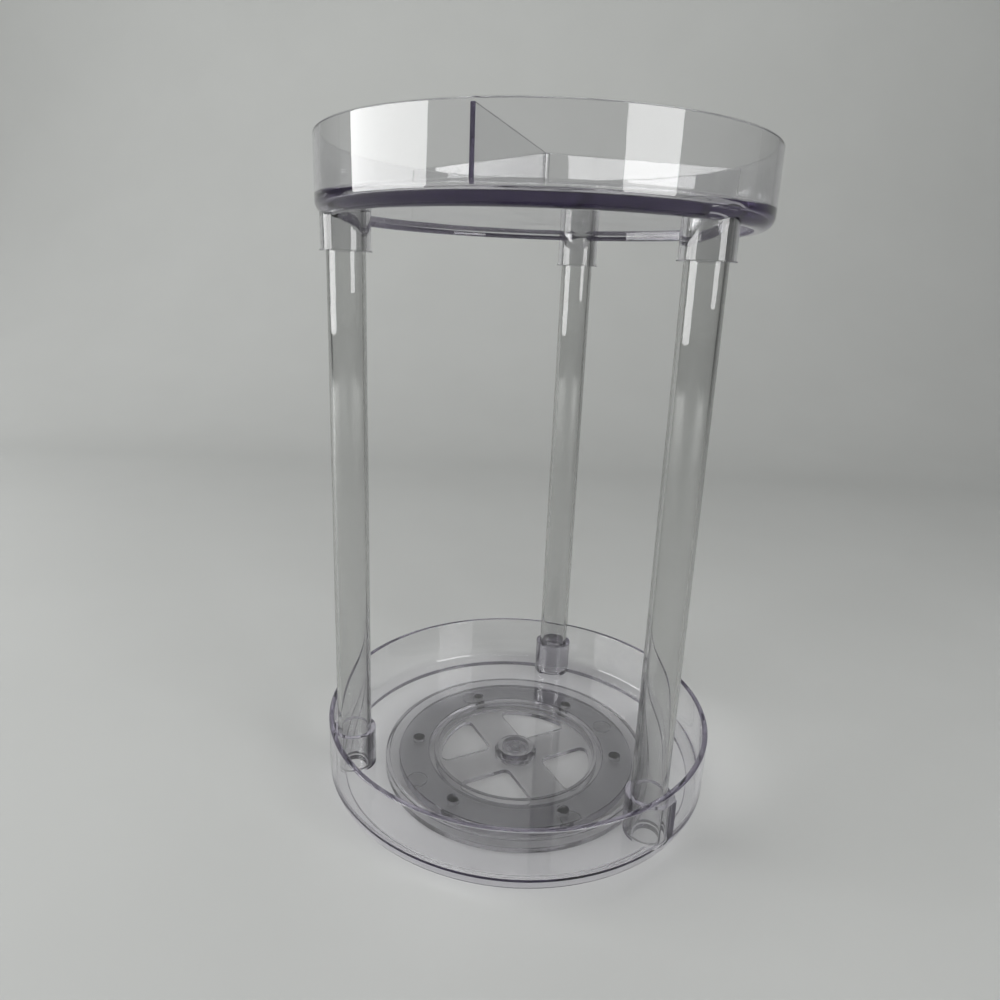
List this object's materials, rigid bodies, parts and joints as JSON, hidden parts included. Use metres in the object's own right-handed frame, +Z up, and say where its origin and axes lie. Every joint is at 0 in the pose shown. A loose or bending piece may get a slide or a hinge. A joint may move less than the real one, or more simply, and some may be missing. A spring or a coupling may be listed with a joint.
{
  "type": "rotating makeup organizer",
  "caption": "Clear two-tier turntable organizer: two round trays on three tubes, the upper one divided, turning on a caged ball bearing over a low base.",
  "frame": {"origin": "on the turning axis, at the height of the table that the foot pads rest on", "axes": "+Z up along the turning axis, -Y towards the front as pictured"},
  "size_m": [0.228, 0.228, 0.3574],
  "materials": {
    "tray_plastic": "clear polished moulded plastic with a faint violet tint",
    "tube_plastic": "clear extruded plastic tube",
    "base_plastic": "clear moulded plastic with a faint violet tint",
    "ball_steel": "polished bearing steel",
    "pad_rubber": "clear soft pad"
  },
  "bodies": {
    "base": {"base": "base_plastic", "foot_pad_1": "pad_rubber", "foot_pad_2": "pad_rubber", "foot_pad_3": "pad_rubber", "foot_pad_4": "pad_rubber"},
    "cage": {"ball_cage": "base_plastic", "steel_ball_1": "ball_steel", "steel_ball_2": "ball_steel", "steel_ball_3": "ball_steel", "steel_ball_4": "ball_steel", "steel_ball_5": "ball_steel", "steel_ball_6": "ball_steel"},
    "tower": {"lower_tray": "tray_plastic", "pivot_plug": "base_plastic", "column_tube_left": "tube_plastic", "column_tube_right": "tube_plastic", "column_tube_rear": "tube_plastic", "upper_tray": "tray_plastic", "divider": "tray_plastic"}
  },
  "joints": [
    {"name": "tray_turn", "type": "hinge", "parent": "base", "child": "tower", "pos_m": [0, 0, 0], "axis": [0, 0, 1], "continuous": true},
    {"name": "cage_turn", "type": "hinge", "parent": "base", "child": "cage", "pos_m": [0, 0, 0], "axis": [0, 0, 1], "continuous": true}
  ],
  "couplings": [
    {"joint": "cage_turn", "follows": "tray_turn", "ratio": 0.5}
  ]
}
